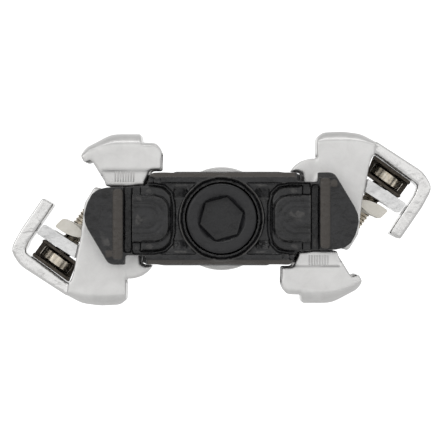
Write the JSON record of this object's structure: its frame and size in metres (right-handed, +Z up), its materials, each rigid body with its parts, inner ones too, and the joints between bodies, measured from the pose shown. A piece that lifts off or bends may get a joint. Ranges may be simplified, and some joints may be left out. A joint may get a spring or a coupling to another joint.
{
  "type": "clipless pedal",
  "caption": "Two-sided clipless bicycle pedal: black body on a threaded spindle, with a fixed front claw and a sprung rear jaw on each side.",
  "frame": {"origin": "on the spindle axis, at the shoulder that seats on the crank arm", "axes": "+Y along the spindle towards the crank, +X towards the top side's rear jaw, +Z up out of the top side"},
  "size_m": [0.086, 0.0813, 0.0358],
  "materials": {
    "black_casting": "satin black coated aluminium casting",
    "satin_nickel": "satin nickel plated steel",
    "polished_steel": "polished plated steel",
    "machined_steel": "turned and plated steel",
    "bearing_steel": "ground bearing steel",
    "zinc_screw": "zinc plated steel",
    "spring_steel": "dark oiled spring steel",
    "cream_plating": "pale zinc plating",
    "black_cap": "satin black moulded nylon",
    "seal_rubber": "black seal rubber",
    "bronze": "sintered bronze"
  },
  "bodies": {
    "spindle": {"spindle": "machined_steel", "bearing_cone": "bearing_steel", "lock_washer": "machined_steel", "lock_nut": "machined_steel"},
    "bearing_cage": {"bearing_ball_cage": "bearing_steel"},
    "pedal_body": {"bearing_cup": "bearing_steel", "inboard_bush": "bronze", "inboard_seal": "seal_rubber", "lock_collar": "satin_nickel", "body_casting": "black_casting", "end_cap": "black_cap", "end_cap_seal": "seal_rubber", "front_claw_top": "satin_nickel", "pivot_pin_top": "machined_steel", "pin_clip_top": "spring_steel", "claw_screw_outboard_top": "zinc_screw", "spring_sleeve_outboard_top": "black_cap", "torsion_spring_outboard_top": "spring_steel", "claw_screw_inboard_top": "zinc_screw", "spring_sleeve_inboard_top": "black_cap", "torsion_spring_inboard_top": "spring_steel", "front_claw_bottom": "satin_nickel", "pivot_pin_bottom": "machined_steel", "pin_clip_bottom": "spring_steel", "claw_screw_outboard_bottom": "zinc_screw", "spring_sleeve_outboard_bottom": "black_cap", "torsion_spring_outboard_bottom": "spring_steel", "claw_screw_inboard_bottom": "zinc_screw", "spring_sleeve_inboard_bottom": "black_cap", "torsion_spring_inboard_bottom": "spring_steel"},
    "jaw_top": {"rear_jaw_top": "satin_nickel", "thrust_plate_top": "polished_steel", "detent_cage_top": "spring_steel"},
    "screw_top": {"tension_screw_top": "zinc_screw"},
    "nut_top": {"tension_nut_top": "cream_plating"},
    "jaw_bottom": {"rear_jaw_bottom": "satin_nickel", "thrust_plate_bottom": "polished_steel", "detent_cage_bottom": "spring_steel"},
    "screw_bottom": {"tension_screw_bottom": "zinc_screw"},
    "nut_bottom": {"tension_nut_bottom": "cream_plating"}
  },
  "joints": [
    {"name": "pedal_spin", "type": "hinge", "parent": "spindle", "child": "pedal_body", "pos_m": [0, -0.0465, 0], "axis": [0, 1, 0], "continuous": true},
    {"name": "bearing_cage_roll", "type": "hinge", "parent": "spindle", "child": "bearing_cage", "pos_m": [0, -0.057, 0], "axis": [0, 1, 0], "continuous": true},
    {"name": "jaw_top_pivot", "type": "hinge", "parent": "pedal_body", "child": "jaw_top", "pos_m": [0.022, -0.0465, 0], "axis": [0, 1, 0], "range_deg": [0, 16], "stiffness_Nm_per_rad": 2.5, "springref_deg": -22.92, "deforming": ["torsion_spring_outboard_top", "torsion_spring_inboard_top"]},
    {"name": "tension_screw_top_turn", "type": "hinge", "parent": "jaw_top", "child": "screw_top", "pos_m": [0.0341, -0.0465, 0.0085], "axis": [-0.5878, 0, -0.809], "range_deg": [0, 720]},
    {"name": "tension_nut_top_slide", "type": "slide", "parent": "jaw_top", "child": "nut_top", "axis": [-0.5878, 0, -0.809], "range_m": [0, 0.0014]},
    {"name": "jaw_bottom_pivot", "type": "hinge", "parent": "pedal_body", "child": "jaw_bottom", "pos_m": [-0.022, -0.0465, 0], "axis": [0, 1, 0], "range_deg": [0, 16], "stiffness_Nm_per_rad": 2.5, "springref_deg": -22.92, "deforming": ["torsion_spring_outboard_bottom", "torsion_spring_inboard_bottom"]},
    {"name": "tension_screw_bottom_turn", "type": "hinge", "parent": "jaw_bottom", "child": "screw_bottom", "pos_m": [-0.0341, -0.0465, -0.0085], "axis": [0.5878, 0, 0.809], "range_deg": [0, 720]},
    {"name": "tension_nut_bottom_slide", "type": "slide", "parent": "jaw_bottom", "child": "nut_bottom", "axis": [0.5878, 0, 0.809], "range_m": [0, 0.0014]}
  ],
  "couplings": [
    {"joint": "bearing_cage_roll", "follows": "pedal_spin", "ratio": 0.58},
    {"joint": "tension_screw_top_turn", "follows": "tension_nut_top_slide", "rad_per_m": 8976},
    {"joint": "tension_screw_bottom_turn", "follows": "tension_nut_bottom_slide", "rad_per_m": 8976}
  ]
}
